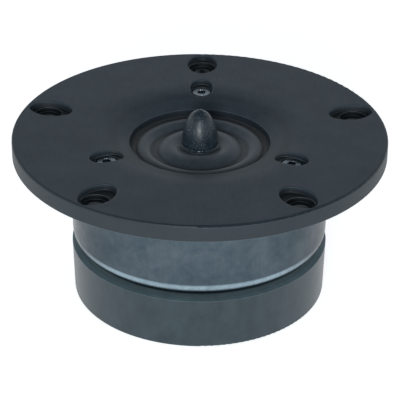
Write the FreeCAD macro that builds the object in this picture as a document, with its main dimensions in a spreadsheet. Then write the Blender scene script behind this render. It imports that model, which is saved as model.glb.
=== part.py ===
import FreeCAD, Part
import math
import os
from collections import namedtuple
import Sketcher

# A flange-mount tweeter with a dual-ring membrane, a ferrite motor in a plated can and a rear chamber.
# +Z points out of the faceplate along the axis. The origin is the middle of the rear face.
# Lengths are millimetres and angles are degrees.

SIZES = {
    # faceplate
    "flange_dia": 104.0,
    "flange_thick": 4.7,
    "flange_edge_radius": 0.6,
    "flare_width": 8.4,
    "crease_depth": 1.2,
    "throat_slope_width": 3.0,
    "throat_depth": 2.6,
    "throat_roll_radius": 24.0,
    # five fixing holes, each with a long recess and a round seat for the screw's head
    "mount_inset": 6.5,
    "mount_hole_dia": 4.5,
    "mount_seat_dia": 7.8,
    "mount_seat_depth": 3.2,
    "mount_slot_width": 8.8,
    "mount_slot_length": 12.6,
    "mount_slot_shift": 0.9,
    "mount_slot_depth": 1.8,
    "mount_rim_radius": 0.4,
    "mount_floor_radius": 0.3,
    "mount_count": 5,
    "mount_slot_end_share": 0.7,
    # three screws from the face into the top plate
    "screw_shift": 1.05,
    "screw_count": 3,
    "screw_dia": 3.0,
    "screw_hole_clearance": 0.3,
    "thread_clearance": 0.02,
    "screw_head_dia": 5.2,
    "screw_head_height": 1.75,
    "screw_head_clearance": 0.5,
    "screw_socket_width": 2.3,
    "screw_socket_depth": 1.2,
    "screw_slot_width": 6.5,
    "screw_slot_length": 9.6,
    "screw_slot_depth": 1.6,
    "screw_slot_end_share": 0.9,
    "screw_rim_radius": 0.3,
    "screw_seat_depth": 3.4,
    "screw_grip": 3.8,
    # membrane
    "membrane_thick": 0.3,
    "clamped_width": 1.9,
    "groove_width": 1.9,
    "outer_roll_width": 4.4,
    "outer_roll_radius": 2.75,
    "coil_band_outside": 0.55,
    "coil_band_inside": 0.85,
    "coil_band_drop": 0.8,
    "inner_roll_width": 5.8,
    "inner_roll_radius": 4.4,
    "inner_rim_rise": 0.5,
    # carrier ring and terminals
    "carrier_thick": 1.6,
    "carrier_ledge": 0.3,
    "carrier_side_gap": 1.55,
    "rim_gap": 0.2,
    "terminal_angle": 126.0,
    "terminal_pitch": 12.0,
    "terminal_overhang": 3.7,
    "terminal_inset": 6.3,
    "terminal_board_width": 19.2,
    "tab_thick": 0.5,
    "tab_gap": 0.2,
    "tab_blade_length": 8.0,
    "positive_tab_width": 4.8,
    "negative_tab_width": 2.8,
    "rivet_dia": 2.0,
    "rivet_bore_dia": 1.2,
    "rivet_head_dia": 2.6,
    "rivet_head_thick": 0.25,
    "rivet_overhang": 1.1,
    "wire_dia": 0.3,
    "wire_groove_width": 0.8,
    "wire_groove_depth": 0.6,
    # voice coil
    "coil_inner_gap": 0.25,
    "coil_outer_gap": 0.45,
    "former_thick": 0.1,
    "former_length": 3.2,
    "winding_thick": 0.4,
    "winding_height": 1.6,
    # motor
    "plate_thick": 4.0,
    "plate_side_gap": 0.5,
    "gap_height": 2.5,
    "plate_taper": 3.4,
    "magnet_thick": 16.0,
    "magnet_side_gap": 1.3,
    "magnet_bore_step": 2.9,
    "yoke_thick": 4.8,
    "yoke_side_gap": 1.8,
    "yoke_chamfer": 2.5,
    "pole_dia": 24.2,
    "vent_dia": 3.6,
    "vent_inner_gap": 0.8,
    "vent_count": 4,
    "cap_thick": 0.28,
    "cap_fit": 0.02,
    "cap_window_gap": 0.3,
    "cap_skirt": 4.6,
    # plug and its fastening
    "stud_dia": 4.0,
    "stud_in_pole": 10.0,
    "stud_in_plug": 5.0,
    "stud_end_gap": 0.3,
    "spacer_inset": 0.3,
    "clamp_ring_inset": 0.45,
    "clamp_ring_thick": 0.6,
    "plug_dia": 9.94,
    "plug_straight": 1.2,
    "plug_foot_radius": 0.35,
    "plug_shoulder_dia": 6.6,
    "plug_shoulder_height": 8.0,
    "plug_height": 10.6,
    "plug_nose_radius": 5.1,
    "plug_tip_dia": 0.7,
    # can
    "can_dia": 71.6,
    "can_wall": 1.0,
    "can_corner_radius": 4.7,
    "can_opening_dia": 24.0,
    "notch_gap": 0.4,
    "notch_below": 0.9,
    # rear chamber
    "chamber_step": 0.2,
    "chamber_draft": 0.4,
    "chamber_height": 14.7,
    "chamber_wall": 2.0,
    "chamber_floor": 2.0,
    "chamber_ledge": 1.5,
    "chamber_foot_radius": 0.4,
    "lid_thick": 2.0,
    "lid_fit": 0.1,
    "gasket_thick": 0.3,
    "gasket_inset": 1.1,
    "rear_screw_circle_dia": 40.0,
    "rear_screw_head_dia": 5.5,
    "rear_screw_head_height": 2.0,
    "rear_screw_grip": 4.0,
    "wad_gap": 1.5,
    "wad_thick": 6.0,
}
SHEET = "Sizes"
FULL_TURN = 360.0
QUARTER_TURN = 90.0
TOUCHING = 1e-3
Slot = namedtuple("Slot", "middle width length depth count end_share")


class Length:
    """A value and the sheet expression that gives it, so that a shape starts where the sheet puts it."""

    def __init__(self, text, value):
        self.text = text
        self.value = value

    def _join(self, other, sign, value):
        return Length(f"({self.text} {sign} {as_length(other).text})", value)

    def __add__(self, other):
        return self._join(other, "+", self.value + as_length(other).value)

    def __sub__(self, other):
        return self._join(other, "-", self.value - as_length(other).value)

    def __mul__(self, other):
        return self._join(other, "*", self.value * as_length(other).value)

    def __truediv__(self, other):
        return self._join(other, "/", self.value / as_length(other).value)


def as_length(item):
    return item if isinstance(item, Length) else Length(repr(item), float(item))


class Sizes:
    """Each size by name, as a Length."""

    def __getattr__(self, name):
        return Length(f"{SHEET}.{name}", float(SIZES[name]))


S = Sizes()
ZERO = Length("0", 0.0)


def half(size):
    return size / 2


def tangent_radius(along, across):
    """The radius of an arc that leaves its first point along one direction and ends across from it."""
    return (along * along + across * across) / (across * 2)


# Levels along the axis, from the rear face to the tip of the plug
LID_UNDER = S.chamber_height - S.lid_thick
CHAMBER_TOP = S.chamber_height
CAN_UNDER = CHAMBER_TOP + S.gasket_thick
YOKE_UNDER = CAN_UNDER + S.can_wall
MAGNET_UNDER = YOKE_UNDER + S.yoke_thick
PLATE_UNDER = MAGNET_UNDER + S.magnet_thick
PLATE_TOP = PLATE_UNDER + S.plate_thick
POLE_TOP = PLATE_TOP - S.cap_thick - S.cap_fit
CARRIER_TOP = PLATE_TOP + S.carrier_thick
FLANGE_REAR = CARRIER_TOP + S.membrane_thick
FACE = FLANGE_REAR + S.flange_thick
BAND_TOP = FLANGE_REAR - S.coil_band_drop
BAND_UNDER = BAND_TOP - S.membrane_thick
INNER_RIM_TOP = FLANGE_REAR + S.inner_rim_rise
INNER_RIM_UNDER = INNER_RIM_TOP - S.membrane_thick
PLUG_FOOT = INNER_RIM_TOP + S.clamp_ring_thick
WINDING_MIDDLE = PLATE_TOP - half(S.gap_height)
SCREW_HOLE = half(S.screw_dia) + S.screw_hole_clearance
SCREW_THREAD = half(S.screw_dia) + S.thread_clearance
STUD_HOLE = half(S.stud_dia) + S.thread_clearance

# Radii, from the axis outwards
CAP_SKIRT = half(S.pole_dia) + S.cap_fit + S.cap_thick
FORMER_INSIDE = CAP_SKIRT + S.coil_inner_gap
FORMER_OUTSIDE = FORMER_INSIDE + S.former_thick
WINDING_OUTSIDE = FORMER_OUTSIDE + S.winding_thick
PLATE_BORE = WINDING_OUTSIDE + S.coil_outer_gap
BAND_OUT = FORMER_OUTSIDE + S.coil_band_outside
BAND_IN = FORMER_OUTSIDE - S.coil_band_inside
ROLL_FOOT = BAND_OUT + S.outer_roll_width
ROLL_NECK = BAND_IN - S.inner_roll_width
THROAT = ROLL_FOOT + S.groove_width
MEMBRANE_RIM = THROAT + S.clamped_width
CREASE = THROAT + S.throat_slope_width
FLARE = CREASE + S.flare_width
CARRIER_BORE = ROLL_FOOT - S.carrier_ledge
SPACER_OUT = ROLL_NECK - S.spacer_inset
VENT_PLACE = SPACER_OUT + S.vent_inner_gap + half(S.vent_dia)
CAN_OUTSIDE = half(S.can_dia)
CAN_INSIDE = CAN_OUTSIDE - S.can_wall
CAN_FLAT = CAN_OUTSIDE - S.can_corner_radius
CARRIER_OUT = CAN_INSIDE - S.carrier_side_gap
PLATE_OUT = CAN_INSIDE - S.plate_side_gap
SCREW_PLACE = half(MEMBRANE_RIM + PLATE_OUT) + S.screw_shift
BOARD_START = CAN_OUTSIDE - S.terminal_inset
BOARD_END = CAN_OUTSIDE + S.terminal_overhang
RIVET_PLACE = CAN_OUTSIDE + S.rivet_overhang
CHAMBER_OUT = CAN_OUTSIDE + S.chamber_step
MOUNT_PLACE = half(S.flange_dia) - S.mount_inset
REAR_SCREW_PLACE = half(S.rear_screw_circle_dia)

doc = FreeCAD.newDocument("tweeter")
sheet = doc.addObject("Spreadsheet::Sheet", SHEET)


def fill_sheet():
    for row, (name, value) in enumerate(SIZES.items(), start=1):
        sheet.set(f"A{row}", name)
        sheet.set(f"B{row}", str(value))
        sheet.setAlias(f"B{row}", name)
    doc.recompute()


def bind(item, path, length):
    item.setExpression(path, length.text)


def new_body(name, many=False):
    body = doc.addObject("PartDesign::Body", name)
    body.Label = name
    body.AllowCompound = many
    return body


def origin_feature(body, role):
    for feature in body.Origin.OriginFeatures:
        if feature.Role == role:
            return feature
    raise RuntimeError(f"{body.Label} has no {role}")


def new_sketch(body, name, role, offset=(ZERO, ZERO, ZERO), turn=None):
    """A sketch on one of the body's own planes, moved by offset in the sketch's own frame."""
    sketch = body.newObject("Sketcher::SketchObject", name)
    sketch.AttachmentSupport = [(origin_feature(body, role), "")]
    sketch.MapMode = "FlatFace"
    angle = turn.value if turn else 0.0
    rotation = FreeCAD.Rotation(FreeCAD.Vector(0, 0, 1), angle)
    base = FreeCAD.Vector(*[part.value for part in offset])
    sketch.AttachmentOffset = FreeCAD.Placement(base, rotation)
    for letter, part in zip("xyz", offset):
        if part is not ZERO:
            bind(sketch, f".AttachmentOffset.Base.{letter}", part)
    if turn:
        bind(sketch, ".AttachmentOffset.Rotation.Angle", turn)
    return sketch


def constrain(sketch, kind, *arguments, size=None):
    if size is None:
        return sketch.addConstraint(Sketcher.Constraint(kind, *arguments))
    index = sketch.addConstraint(Sketcher.Constraint(kind, *arguments, size.value))
    bind(sketch, f"Constraints[{index}]", size)
    return index


def place_vertex(sketch, geometry, end, point):
    """Ties a vertex to the sketch's axes at the point's two lengths."""
    origin, x_axis, y_axis = (-1, 1), -1, -2
    for length, kind, axis in ((point[0], "DistanceX", y_axis), (point[1], "DistanceY", x_axis)):
        if length is ZERO:
            constrain(sketch, "PointOnObject", geometry, end, axis)
        elif length.value > 0:
            constrain(sketch, kind, *origin, geometry, end, size=length)
        else:
            constrain(sketch, kind, geometry, end, *origin, size=ZERO - length)


def arc_between(start, finish, radius, side):
    """The arc of a radius from start to finish that bulges to one side: 1 is left of the way, -1 right."""
    span = finish - start
    chord = span.Length
    rise = math.sqrt(max(0.0, radius * radius - chord * chord / 4))
    across = FreeCAD.Vector(-span.y, span.x, 0) / chord
    centre = (start + finish) / 2 - across * rise * side
    angles = [math.atan2(end.y - centre.y, end.x - centre.x) for end in (start, finish)]
    if side > 0:
        angles.reverse()
    if angles[1] < angles[0]:
        angles[1] += 2 * math.pi
    return Part.ArcOfCircle(Part.Circle(centre, FreeCAD.Vector(0, 0, 1), radius), *angles)


def draw_loop(sketch, corners):
    """Closed outline. Each corner is (x, y), or (x, y, radius, side) where an arc leads to the next corner."""
    points = [FreeCAD.Vector(corner[0].value, corner[1].value, 0) for corner in corners]
    ends = []
    for index, corner in enumerate(corners):
        start = points[index]
        finish = points[(index + 1) % len(points)]
        if len(corner) == 2:
            geometry = sketch.addGeometry(Part.LineSegment(start, finish), False)
            ends.append((geometry, 1, 2))
            continue
        arc = arc_between(start, finish, corner[2].value, corner[3])
        geometry = sketch.addGeometry(arc, False)
        ends.append((geometry, 2, 1) if corner[3] > 0 else (geometry, 1, 2))
    for index, corner in enumerate(corners):
        geometry, first, last = ends[index]
        following, next_first, _ = ends[(index + 1) % len(ends)]
        constrain(sketch, "Coincident", geometry, last, following, next_first)
        place_vertex(sketch, geometry, first, corner)
        if len(corner) > 2:
            constrain(sketch, "Radius", geometry, size=corner[2])


def draw_circle(sketch, centre, radius):
    middle = FreeCAD.Vector(centre[0].value, centre[1].value, 0)
    circle = Part.Circle(middle, FreeCAD.Vector(0, 0, 1), radius.value)
    geometry = sketch.addGeometry(circle, False)
    place_vertex(sketch, geometry, 3, centre)
    constrain(sketch, "Radius", geometry, size=radius)


def rectangle(left, right, low, high):
    return [(left, low), (right, low), (right, high), (left, high)]


def turn(body, name, corners, role="XZ_Plane", offset=(ZERO, ZERO, ZERO)):
    """A full revolution of the outline about the sketch's own upright axis."""
    sketch = new_sketch(body, f"{name}_profile", role, offset)
    draw_loop(sketch, corners)
    feature = body.newObject("PartDesign::Revolution", name)
    feature.Profile = sketch
    feature.ReferenceAxis = (sketch, ["V_Axis"])
    feature.Angle = FULL_TURN
    doc.recompute()
    return feature


def turned_piece(name, corners):
    body = new_body(name)
    turn(body, f"{name}_turned", corners)
    return body


def cut_down(body, name, sketch, depth):
    """A pocket from the sketch's plane towards the rear, checked to have cut something."""
    before = body.Shape.Volume
    pocket = body.newObject("PartDesign::Pocket", name)
    pocket.Profile = sketch
    bind(pocket, "Length", depth)
    pocket.Length = depth.value
    doc.recompute()
    if not body.Shape.Volume < before:
        raise RuntimeError(f"{name} cut nothing")
    return pocket


def round_pocket(body, name, level, centre, radius, depth, turned=None):
    sketch = new_sketch(body, f"{name}_outline", "XY_Plane", (ZERO, ZERO, level), turned)
    draw_circle(sketch, centre, radius)
    return cut_down(body, name, sketch, depth)


def outline_pocket(body, name, level, corners, depth, turned=None):
    sketch = new_sketch(body, f"{name}_outline", "XY_Plane", (ZERO, ZERO, level), turned)
    draw_loop(sketch, corners)
    return cut_down(body, name, sketch, depth)


def polar(body, name, features, count):
    """Repeats the features round the axis and makes the result the body's tip."""
    pattern = body.newObject("PartDesign::PolarPattern", name)
    pattern.Originals = features
    pattern.Axis = (origin_feature(body, "Z_Axis"), [""])
    pattern.Angle = FULL_TURN
    bind(pattern, "Occurrences", count)
    pattern.Occurrences = int(count.value)
    body.Tip = pattern
    doc.recompute()
    return pattern


def round_edges(body, name, radius, wanted):
    """Fillets the edges that wanted picks."""
    base = body.Tip
    edges = [f"Edge{index}" for index, edge in enumerate(base.Shape.Edges, start=1) if wanted(edge)]
    fillet = body.newObject("PartDesign::Fillet", name)
    fillet.Base = (base, edges)
    bind(fillet, "Radius", radius)
    fillet.Radius = radius.value
    body.Tip = fillet
    doc.recompute()


class Oval:
    """A four-arc oval: its half width and half length, and the centres of its end arcs and flank arcs."""

    def __init__(self, slot):
        self.side, reach = half(slot.width), half(slot.length)
        self.end = self.side * slot.end_share
        self.end_centre = reach - self.end
        side, end, away = self.side, self.end, self.end_centre
        self.flank = (away * away + side * side - end * end) / ((side - end) * 2)
        self.flank_centre = self.flank - side
        self.share = self.flank / (self.flank - end)


def on_slot_wall(spot, slot):
    """True where a point lies on the side wall of one of a ring of radial slots."""
    oval = Oval(slot)
    for index in range(int(slot.count.value)):
        angle = math.radians(QUARTER_TURN + FULL_TURN * index / slot.count.value)
        along = abs(spot.x * math.cos(angle) + spot.y * math.sin(angle) - slot.middle.value)
        across = abs(spot.y * math.cos(angle) - spot.x * math.sin(angle))
        if along > (oval.end_centre * oval.share).value:
            gap = math.hypot(across, along - oval.end_centre.value) - oval.end.value
        else:
            gap = math.hypot(across + oval.flank_centre.value, along) - oval.flank.value
        if abs(gap) < TOUCHING:
            return True
    return False


def edge_spots(edge):
    """The two ends and the middle of an edge."""
    span = edge.LastParameter - edge.FirstParameter
    return [edge.valueAt(edge.FirstParameter + span * share) for share in (0.0, 0.5, 1.0)]


def slot_edges(slot, at_floor):
    """Picks the outline of the slots: at their floor, or at the front where they meet the face or the flare."""
    floor = (FACE - slot.depth).value

    def wanted(edge):
        spots = edge_spots(edge)
        if at_floor:
            level = all(math.isclose(spot.z, floor, abs_tol=TOUCHING) for spot in spots)
        else:
            level = all(spot.z > floor + TOUCHING for spot in spots)
        return level and all(on_slot_wall(spot, slot) for spot in spots)

    return wanted


def slot_outline(slot):
    """An oval slot that runs along the sketch's upright axis: two flank arcs that lead into two end arcs."""
    oval = Oval(slot)
    right = oval.flank_centre * oval.share - oval.flank_centre
    rise = oval.end_centre * oval.share
    left, low, high = ZERO - right, slot.middle - rise, slot.middle + rise
    return [
        (right, low, oval.flank, -1),
        (right, high, oval.end, -1),
        (left, high, oval.flank, -1),
        (left, low, oval.end, -1),
    ]


def make_faceplate():
    outer = half(S.flange_dia)
    flare = tangent_radius(S.flare_width, S.crease_depth)
    edge = S.flange_edge_radius
    body = turned_piece("faceplate", [
        (THROAT, FLANGE_REAR),
        (outer, FLANGE_REAR),
        (outer, FACE - edge, edge, -1),
        (outer - edge, FACE),
        (FLARE, FACE, flare, -1),
        (CREASE, FACE - S.crease_depth, S.throat_roll_radius, -1),
        (THROAT, FACE - S.throat_depth),
    ])
    place = (ZERO, MOUNT_PLACE)
    fixing_slot = Slot(MOUNT_PLACE - S.mount_slot_shift, S.mount_slot_width, S.mount_slot_length,
                       S.mount_slot_depth, S.mount_count, S.mount_slot_end_share)
    fixings = [
        outline_pocket(body, "fixing_slot", FACE, slot_outline(fixing_slot), fixing_slot.depth),
        round_pocket(body, "fixing_seat", FACE, place, half(S.mount_seat_dia), S.mount_seat_depth),
        round_pocket(body, "fixing_hole", FACE, place, half(S.mount_hole_dia), S.flange_thick),
    ]
    polar(body, "fixing_circle", fixings, S.mount_count)
    spot = (ZERO, SCREW_PLACE)
    seat = half(S.screw_head_dia) + S.screw_head_clearance
    screw_slot = Slot(SCREW_PLACE, S.screw_slot_width, S.screw_slot_length,
                      S.screw_slot_depth, S.screw_count, S.screw_slot_end_share)
    screws = [
        outline_pocket(body, "screw_slot", FACE, slot_outline(screw_slot), screw_slot.depth),
        round_pocket(body, "screw_seat", FACE, spot, seat, S.screw_seat_depth),
        round_pocket(body, "screw_hole", FACE, spot, SCREW_HOLE, S.flange_thick),
    ]
    polar(body, "screw_circle", screws, S.screw_count)
    round_edges(body, "fixing_floors", S.mount_floor_radius, slot_edges(fixing_slot, True))
    round_edges(body, "fixing_rims", S.mount_rim_radius, slot_edges(fixing_slot, False))
    round_edges(body, "screw_rims", S.screw_rim_radius, slot_edges(screw_slot, False))


def hexagon(width):
    """The corners of a hexagon about the sketch's origin, from its width across flats."""
    corner = width / math.sqrt(3)
    side = half(width)
    low = ZERO - side
    return [
        (corner, ZERO),
        (half(corner), side),
        (ZERO - half(corner), side),
        (ZERO - corner, ZERO),
        (ZERO - half(corner), low),
        (half(corner), low),
    ]


def make_screws(name, circle, under_head, tip, head_dia, head_height, downwards):
    """Socket-head screws on a circle. The head is above under_head, or below it where downwards is set."""
    body = new_body(name, many=True)
    head_end = under_head - head_height if downwards else under_head + head_height
    shank, head = half(S.screw_dia), half(head_dia)
    corners = [(ZERO, tip), (shank, tip), (shank, under_head), (head, under_head), (head, head_end), (ZERO, head_end)]
    screw = turn(body, f"{name}_turned", corners, "YZ_Plane", (circle, ZERO, ZERO))
    top = head_end + S.screw_socket_depth if downwards else head_end
    sketch = new_sketch(body, f"{name}_socket_outline", "XY_Plane", (ZERO, circle, top))
    draw_loop(sketch, hexagon(S.screw_socket_width))
    socket = cut_down(body, f"{name}_socket", sketch, S.screw_socket_depth)
    polar(body, f"{name}_circle", [screw, socket], S.screw_count)


def make_face_screws():
    under_head = FACE - S.screw_seat_depth
    tip = PLATE_TOP - S.screw_grip
    make_screws("faceplate_screws", SCREW_PLACE, under_head, tip,
                S.screw_head_dia, S.screw_head_height, False)


def screw_holes(body, name, level, circle, radius, depth):
    spot = (ZERO, circle)
    hole = round_pocket(body, f"{name}_hole", level, spot, radius, depth)
    polar(body, f"{name}_holes", [hole], S.screw_count)


def make_front_gasket():
    inner = MEMBRANE_RIM + S.rim_gap
    body = turned_piece("front_gasket", rectangle(inner, CARRIER_OUT, CARRIER_TOP, FLANGE_REAR))
    screw_holes(body, "gasket", FLANGE_REAR, SCREW_PLACE, SCREW_HOLE, S.membrane_thick)


def make_membrane():
    """Two rolls side by side, with a flat band between them that carries the coil."""
    rim, foot, neck, bore = MEMBRANE_RIM, ROLL_FOOT, ROLL_NECK, STUD_HOLE
    turned_piece("ring_diaphragm", [
        (rim, FLANGE_REAR),
        (foot, FLANGE_REAR, S.outer_roll_radius, -1),
        (BAND_OUT, BAND_TOP),
        (BAND_IN, BAND_TOP, S.inner_roll_radius, -1),
        (neck, INNER_RIM_TOP),
        (bore, INNER_RIM_TOP),
        (bore, INNER_RIM_UNDER),
        (neck, INNER_RIM_UNDER, S.inner_roll_radius, 1),
        (BAND_IN, BAND_UNDER),
        (BAND_OUT, BAND_UNDER, S.outer_roll_radius, 1),
        (foot, CARRIER_TOP),
        (rim, CARRIER_TOP),
    ])


def terminal_turn():
    return S.terminal_angle - QUARTER_TURN


def make_carrier():
    body = turned_piece("diaphragm_carrier", rectangle(
        CARRIER_BORE, CARRIER_OUT, PLATE_TOP, CARRIER_TOP))
    side = half(S.terminal_board_width)
    sketch = new_sketch(body, "board_outline", "XY_Plane", (ZERO, ZERO, PLATE_TOP), terminal_turn())
    draw_loop(sketch, rectangle(ZERO - side, side, BOARD_START, BOARD_END))
    board = body.newObject("PartDesign::Pad", "board")
    board.Profile = sketch
    bind(board, "Length", S.carrier_thick)
    doc.recompute()
    inner = half(CARRIER_BORE)
    for label, sign, width in tab_list():
        middle = half(S.terminal_pitch) * sign
        recess = rectangle(middle - half(width), middle + half(width), BOARD_START, BOARD_END)
        outline_pocket(body, f"{label}_recess", CARRIER_TOP, recess, S.tab_thick, terminal_turn())
        gap = half(S.wire_groove_width)
        groove = rectangle(middle - gap, middle + gap, inner, BOARD_START)
        outline_pocket(body, f"{label}_groove", CARRIER_TOP, groove, S.wire_groove_depth, terminal_turn())
        place = (middle, RIVET_PLACE)
        hole = half(S.rivet_dia) + S.thread_clearance
        round_pocket(body, f"{label}_rivet_hole", CARRIER_TOP, place, hole, S.carrier_thick, terminal_turn())
    screw_holes(body, "carrier", CARRIER_TOP, SCREW_PLACE, SCREW_HOLE, S.carrier_thick)


def tab_list():
    return (
        ("positive", -1, S.positive_tab_width),
        ("negative", 1, S.negative_tab_width),
    )


def make_tabs():
    """Blade terminals, bent down past the edge of the carrier's board."""
    level = CARRIER_TOP - S.tab_thick
    bend = BOARD_END + S.tab_gap
    corners = [
        (BOARD_START, level),
        (bend, level),
        (bend, CARRIER_TOP - S.tab_blade_length),
        (bend + S.tab_thick, CARRIER_TOP - S.tab_blade_length),
        (bend + S.tab_thick, CARRIER_TOP),
        (BOARD_START, CARRIER_TOP),
    ]
    for label, sign, width in tab_list():
        name = f"terminal_tab_{label}"
        body = new_body(name)
        middle = half(S.terminal_pitch) * sign
        sketch = new_sketch(body, f"{name}_profile", "YZ_Plane", (ZERO, ZERO, middle))
        draw_loop(sketch, corners)
        blade = body.newObject("PartDesign::Pad", f"{name}_blade")
        blade.Profile = sketch
        blade.Midplane = True
        bind(blade, "Length", width)
        doc.recompute()
        hole = half(S.rivet_dia) + S.thread_clearance
        round_pocket(body, f"{name}_eye", CARRIER_TOP, (middle, RIVET_PLACE), hole, S.tab_thick)
        turn_to_terminals(body)


def turn_to_terminals(body):
    body.Placement = FreeCAD.Placement(
        FreeCAD.Vector(0, 0, 0), FreeCAD.Rotation(FreeCAD.Vector(0, 0, 1), terminal_turn().value))
    bind(body, ".Placement.Rotation.Angle", terminal_turn())


def make_rivets():
    """Two hollow rivets through the tabs and the board."""
    body = new_body("terminal_rivets", many=True)
    bore, shank, head = half(S.rivet_bore_dia), half(S.rivet_dia), half(S.rivet_head_dia)
    low, high, flange = PLATE_TOP, CARRIER_TOP, S.rivet_head_thick
    corners = [
        (bore, low - flange), (head, low - flange), (head, low), (shank, low),
        (shank, high), (head, high), (head, high + flange), (bore, high + flange),
    ]
    for label, sign, _ in tab_list():
        middle = half(S.terminal_pitch) * sign
        turn(body, f"{label}_rivet", corners, "YZ_Plane", (RIVET_PLACE, ZERO, middle))
    turn_to_terminals(body)


def make_coil():
    turned_piece("voice_coil_former", rectangle(
        FORMER_INSIDE, FORMER_OUTSIDE, BAND_UNDER - S.former_length, BAND_UNDER))
    low = WINDING_MIDDLE - half(S.winding_height)
    turned_piece("voice_coil_winding", rectangle(
        FORMER_OUTSIDE, WINDING_OUTSIDE, low, low + S.winding_height))


def wire_path(side):
    """From the top of the winding up the former, out under the outer roll and along the groove to the tab."""
    radius = S.wire_dia.value / 2
    across = side * S.terminal_pitch.value / 2
    coil = math.sqrt((FORMER_OUTSIDE.value + radius) ** 2 - across ** 2)
    rim = math.sqrt(CARRIER_BORE.value ** 2 - across ** 2)
    low = WINDING_MIDDLE.value + S.winding_height.value / 2
    turn_up = BAND_UNDER.value - S.wire_dia.value
    level = CARRIER_TOP.value - S.wire_groove_depth.value / 2
    points = [(coil, low), (coil, turn_up), ((coil + 2 * rim) / 3, level), (BOARD_START.value, level)]
    return [FreeCAD.Vector(across, y, z) for y, z in points]


def rounded_path(points, radius):
    """Straight runs joined by tangent arcs of one radius."""
    edges, start = [], points[0]
    for before, corner, after in zip(points, points[1:], points[2:]):
        way_in = (corner - before).normalize()
        way_out = (after - corner).normalize()
        turned = way_in.getAngle(way_out)
        cut = radius * math.tan(turned / 2)
        first, last = corner - way_in * cut, corner + way_out * cut
        bisector = (way_out - way_in).normalize()
        centre = corner + bisector * (radius / math.cos(turned / 2))
        middle = centre - bisector * radius
        edges.append(Part.LineSegment(start, first).toShape())
        edges.append(Part.Arc(first, middle, last).toShape())
        start = last
    edges.append(Part.LineSegment(start, points[-1]).toShape())
    return Part.Wire(edges)


def make_wires():
    """Two round leads. They bend from the moving coil to the fixed tabs."""
    radius = S.wire_dia.value / 2
    solids = []
    for side in (-1, 1):
        points = wire_path(side)
        section = Part.Wire(Part.makeCircle(radius, points[0], points[1] - points[0]))
        solids.append(rounded_path(points, 2 * radius).makePipeShell([section], True, True))
    leads = doc.addObject("Part::Feature", "lead_wires")
    leads.Label = "lead_wires"
    leads.Shape = Part.makeCompound(solids)
    leads.Placement = FreeCAD.Placement(
        FreeCAD.Vector(0, 0, 0), FreeCAD.Rotation(FreeCAD.Vector(0, 0, 1), terminal_turn().value))


def make_motor():
    plate = turned_piece("top_plate", [
        (PLATE_BORE, PLATE_TOP - S.gap_height),
        (PLATE_BORE + S.plate_taper, PLATE_UNDER),
        (PLATE_OUT, PLATE_UNDER),
        (PLATE_OUT, PLATE_TOP),
        (PLATE_BORE, PLATE_TOP),
    ])
    screw_holes(plate, "plate", PLATE_TOP, SCREW_PLACE, SCREW_THREAD, S.plate_thick)
    turned_piece("ferrite_magnet", rectangle(
        PLATE_BORE + S.magnet_bore_step, CAN_INSIDE - S.magnet_side_gap, MAGNET_UNDER, PLATE_UNDER))
    make_yoke()
    inner = half(S.pole_dia) + S.cap_fit
    window = VENT_PLACE + half(S.vent_dia) + S.cap_window_gap
    low, high = PLATE_TOP - S.cap_skirt, PLATE_TOP
    under = high - S.cap_thick
    turned_piece("copper_cap", [
        (inner, low), (CAP_SKIRT, low), (CAP_SKIRT, high), (window, high), (window, under), (inner, under),
    ])


def make_yoke():
    edge, pole = CAN_INSIDE - S.yoke_side_gap, half(S.pole_dia)
    body = turned_piece("pole_yoke", [
        (ZERO, YOKE_UNDER),
        (edge - S.yoke_chamfer, YOKE_UNDER),
        (edge, YOKE_UNDER + S.yoke_chamfer),
        (edge, MAGNET_UNDER),
        (pole, MAGNET_UNDER),
        (pole, POLE_TOP),
        (ZERO, POLE_TOP),
    ])
    depth = S.stud_in_pole + S.stud_end_gap
    round_pocket(body, "stud_hole", POLE_TOP, (ZERO, ZERO), STUD_HOLE, depth)
    through = POLE_TOP - YOKE_UNDER
    vent = round_pocket(body, "vent", POLE_TOP, (ZERO, VENT_PLACE), half(S.vent_dia), through)
    polar(body, "vents", [vent], S.vent_count)
    hole_top = YOKE_UNDER + S.rear_screw_grip + S.stud_end_gap
    depth = S.rear_screw_grip + S.stud_end_gap
    screw_holes(body, "rear_screw", hole_top, REAR_SCREW_PLACE, SCREW_THREAD, depth)


def make_plug():
    base, shoulder = half(S.plug_dia), half(S.plug_shoulder_dia)
    straight = PLUG_FOOT + S.plug_straight
    rise = S.plug_shoulder_height - S.plug_straight
    belly = tangent_radius(rise, base - shoulder)
    foot = S.plug_foot_radius
    depth = S.stud_in_plug + S.stud_end_gap
    turned_piece("phase_plug", [
        (STUD_HOLE, PLUG_FOOT),
        (base + foot, PLUG_FOOT, foot, 1),
        (base, PLUG_FOOT + foot),
        (base, straight, belly, -1),
        (shoulder, PLUG_FOOT + S.plug_shoulder_height, S.plug_nose_radius, -1),
        (half(S.plug_tip_dia), PLUG_FOOT + S.plug_height),
        (ZERO, PLUG_FOOT + S.plug_height),
        (ZERO, PLUG_FOOT + depth),
        (STUD_HOLE, PLUG_FOOT + depth),
    ])
    turned_piece("inner_clamp_ring", rectangle(
        STUD_HOLE, ROLL_NECK - S.clamp_ring_inset, INNER_RIM_TOP, PLUG_FOOT))
    turned_piece("inner_spacer", rectangle(
        STUD_HOLE, SPACER_OUT, POLE_TOP, INNER_RIM_UNDER))
    turned_piece("plug_stud", rectangle(
        ZERO, half(S.stud_dia), POLE_TOP - S.stud_in_pole, PLUG_FOOT + S.stud_in_plug))


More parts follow.
